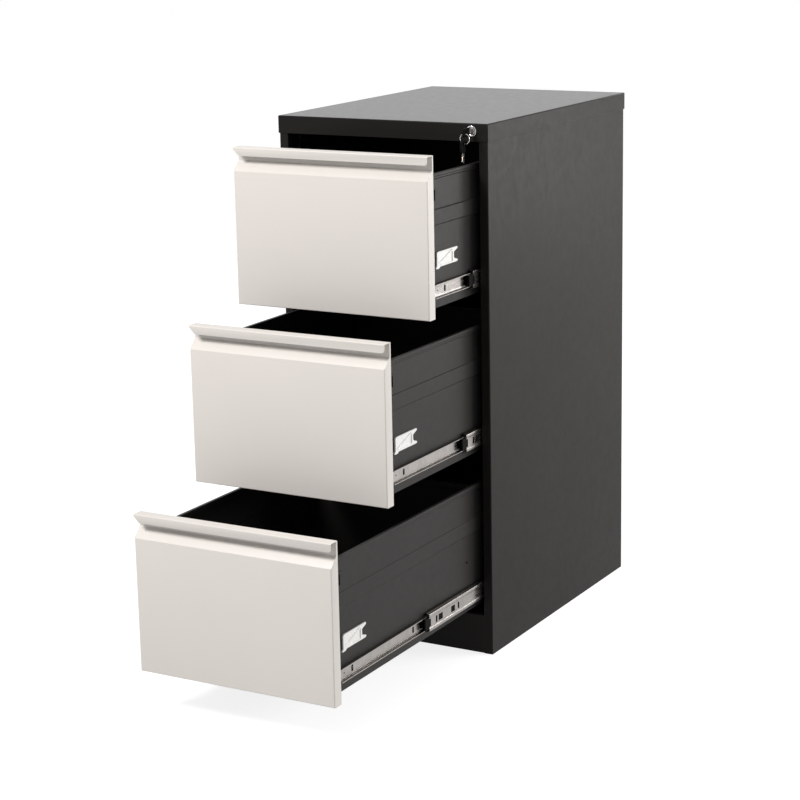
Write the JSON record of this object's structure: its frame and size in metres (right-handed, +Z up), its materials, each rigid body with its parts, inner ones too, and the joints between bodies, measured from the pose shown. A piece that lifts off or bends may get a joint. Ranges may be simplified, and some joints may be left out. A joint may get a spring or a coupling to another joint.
{
  "type": "filing cabinet",
  "caption": "Vertical filing cabinet of folded sheet steel with pull-out drawers on telescopic slides, folded full-width pulls, a cam lock with a locking bar, and its keys",
  "frame": {"origin": "on the floor, on the centreline, in the middle of the plinth's foot flange", "axes": "+X is the cabinet's right as seen from the front, +Y runs from the front to the back, +Z is up"},
  "size_m": [0.457, 1.1765, 1.033],
  "materials": {
    "carcass_paint": "fine-textured charcoal powder coat on folded sheet steel",
    "front_paint": "smooth light warm grey powder coat, satin",
    "drawer_paint": "charcoal powder coat, satin",
    "zinc_steel": "bright zinc-plated rolled steel",
    "white_plastic": "moulded white plastic",
    "black_plastic": "moulded black plastic",
    "chrome": "bright plated lock",
    "key_nickel": "nickel-plated stamped key and flat ring"
  },
  "bodies": {
    "carcass": {"top_cap": "carcass_paint", "right_side_panel": "carcass_paint", "left_side_panel": "carcass_paint", "back_panel": "carcass_paint", "plinth_rail": "carcass_paint", "base_pan": "carcass_paint", "slide_uprights": "zinc_steel", "lock_housing": "chrome", "lock_nut": "zinc_steel", "bar_guides": "black_plastic", "lower_cabinet_members": "zinc_steel", "middle_cabinet_members": "zinc_steel", "upper_cabinet_members": "zinc_steel"},
    "lock_barrel": {"lock_plug": "chrome", "lock_cam": "zinc_steel", "cam_nut": "zinc_steel"},
    "locking_bar": {"locking_bar": "zinc_steel", "bar_hooks": "zinc_steel"},
    "key": {"key": "key_nickel"},
    "key_ring": {"key_ring": "key_nickel"},
    "spare_key": {"spare_key": "key_nickel"},
    "lower_telescope": {"lower_telescope_members": "zinc_steel", "lower_slide_stops": "black_plastic"},
    "lower_drawer": {"lower_drawer_front": "front_paint", "lower_drawer_liner": "drawer_paint", "lower_drawer_right_side": "drawer_paint", "lower_drawer_left_side": "drawer_paint", "lower_drawer_floor": "drawer_paint", "lower_drawer_back": "drawer_paint", "lower_drawer_clips": "white_plastic", "lower_drawer_lock_catch": "zinc_steel", "lower_drawer_members": "zinc_steel"},
    "lower_inner_balls": {"lower_inner_ball_retainers": "black_plastic"},
    "lower_outer_balls": {"lower_outer_ball_retainers": "black_plastic"},
    "middle_telescope": {"middle_telescope_members": "zinc_steel", "middle_slide_stops": "black_plastic"},
    "middle_drawer": {"middle_drawer_front": "front_paint", "middle_drawer_liner": "drawer_paint", "middle_drawer_right_side": "drawer_paint", "middle_drawer_left_side": "drawer_paint", "middle_drawer_floor": "drawer_paint", "middle_drawer_back": "drawer_paint", "middle_drawer_clips": "white_plastic", "middle_drawer_lock_catch": "zinc_steel", "middle_drawer_members": "zinc_steel"},
    "middle_inner_balls": {"middle_inner_ball_retainers": "black_plastic"},
    "middle_outer_balls": {"middle_outer_ball_retainers": "black_plastic"},
    "upper_telescope": {"upper_telescope_members": "zinc_steel", "upper_slide_stops": "black_plastic"},
    "upper_drawer": {"upper_drawer_front": "front_paint", "upper_drawer_liner": "drawer_paint", "upper_drawer_right_side": "drawer_paint", "upper_drawer_left_side": "drawer_paint", "upper_drawer_floor": "drawer_paint", "upper_drawer_back": "drawer_paint", "upper_drawer_clips": "white_plastic", "upper_drawer_lock_catch": "zinc_steel", "upper_drawer_members": "zinc_steel"},
    "upper_inner_balls": {"upper_inner_ball_retainers": "black_plastic"},
    "upper_outer_balls": {"upper_outer_ball_retainers": "black_plastic"}
  },
  "joints": [
    {"name": "lower_telescope_slide", "type": "slide", "parent": "carcass", "child": "lower_telescope", "axis": [0, -1, 0], "range_m": [-0.256, 0.014]},
    {"name": "lower_drawer_slide", "type": "slide", "parent": "lower_telescope", "child": "lower_drawer", "axis": [0, -1, 0], "range_m": [-0.3, 0.005]},
    {"name": "lower_inner_balls_roll", "type": "slide", "parent": "lower_telescope", "child": "lower_inner_balls", "axis": [0, -1, 0], "range_m": [-0.1505, 0.003]},
    {"name": "lower_outer_balls_roll", "type": "slide", "parent": "carcass", "child": "lower_outer_balls", "axis": [0, -1, 0], "range_m": [-0.1285, 0.0075]},
    {"name": "middle_telescope_slide", "type": "slide", "parent": "carcass", "child": "middle_telescope", "axis": [0, -1, 0], "range_m": [-0.1, 0.17]},
    {"name": "middle_drawer_slide", "type": "slide", "parent": "middle_telescope", "child": "middle_drawer", "axis": [0, -1, 0], "range_m": [-0.26, 0.045]},
    {"name": "middle_inner_balls_roll", "type": "slide", "parent": "middle_telescope", "child": "middle_inner_balls", "axis": [0, -1, 0], "range_m": [-0.1305, 0.023]},
    {"name": "middle_outer_balls_roll", "type": "slide", "parent": "carcass", "child": "middle_outer_balls", "axis": [0, -1, 0], "range_m": [-0.0505, 0.0855]},
    {"name": "upper_telescope_slide", "type": "slide", "parent": "carcass", "child": "upper_telescope", "axis": [0, -1, 0], "range_m": [-0.066, 0.204]},
    {"name": "upper_drawer_slide", "type": "slide", "parent": "upper_telescope", "child": "upper_drawer", "axis": [0, -1, 0], "range_m": [-0.129, 0.176]},
    {"name": "upper_inner_balls_roll", "type": "slide", "parent": "upper_telescope", "child": "upper_inner_balls", "axis": [0, -1, 0], "range_m": [-0.065, 0.0885]},
    {"name": "upper_outer_balls_roll", "type": "slide", "parent": "carcass", "child": "upper_outer_balls", "axis": [0, -1, 0], "range_m": [-0.0335, 0.1025]},
    {"name": "lock_turn", "type": "hinge", "parent": "carcass", "child": "lock_barrel", "pos_m": [0.1946, 0, 1.0185], "axis": [0, -1, 0], "range_deg": [0, 90]},
    {"name": "bar_lift", "type": "slide", "parent": "carcass", "child": "locking_bar", "axis": [0, 0, 1], "range_m": [0, 0.01697]},
    {"name": "key_pull", "type": "slide", "parent": "lock_barrel", "child": "key", "axis": [0, -1, 0], "range_m": [0, 0.045]},
    {"name": "ring_swing", "type": "hinge", "parent": "key", "child": "key_ring", "pos_m": [0.1946, -0.039, 1.01675], "axis": [-1, 0, 0], "range_deg": [-20, 60]},
    {"name": "spare_key_slide", "type": "hinge", "parent": "key_ring", "child": "spare_key", "pos_m": [0.1946, -0.039, 1.00715], "axis": [0, -1, 0], "range_deg": [-90, 0]}
  ],
  "couplings": [
    {"joint": "lower_inner_balls_roll", "follows": "lower_drawer_slide", "ratio": 0.5},
    {"joint": "lower_outer_balls_roll", "follows": "lower_telescope_slide", "ratio": 0.5},
    {"joint": "middle_inner_balls_roll", "follows": "middle_drawer_slide", "ratio": 0.5},
    {"joint": "middle_outer_balls_roll", "follows": "middle_telescope_slide", "ratio": 0.5},
    {"joint": "upper_inner_balls_roll", "follows": "upper_drawer_slide", "ratio": 0.5},
    {"joint": "upper_outer_balls_roll", "follows": "upper_telescope_slide", "ratio": 0.5},
    {"joint": "lock_turn", "follows": "bar_lift", "rad_per_m": 92.56},
    {"joint": "spare_key_slide", "follows": "bar_lift", "rad_per_m": -92.56}
  ]
}
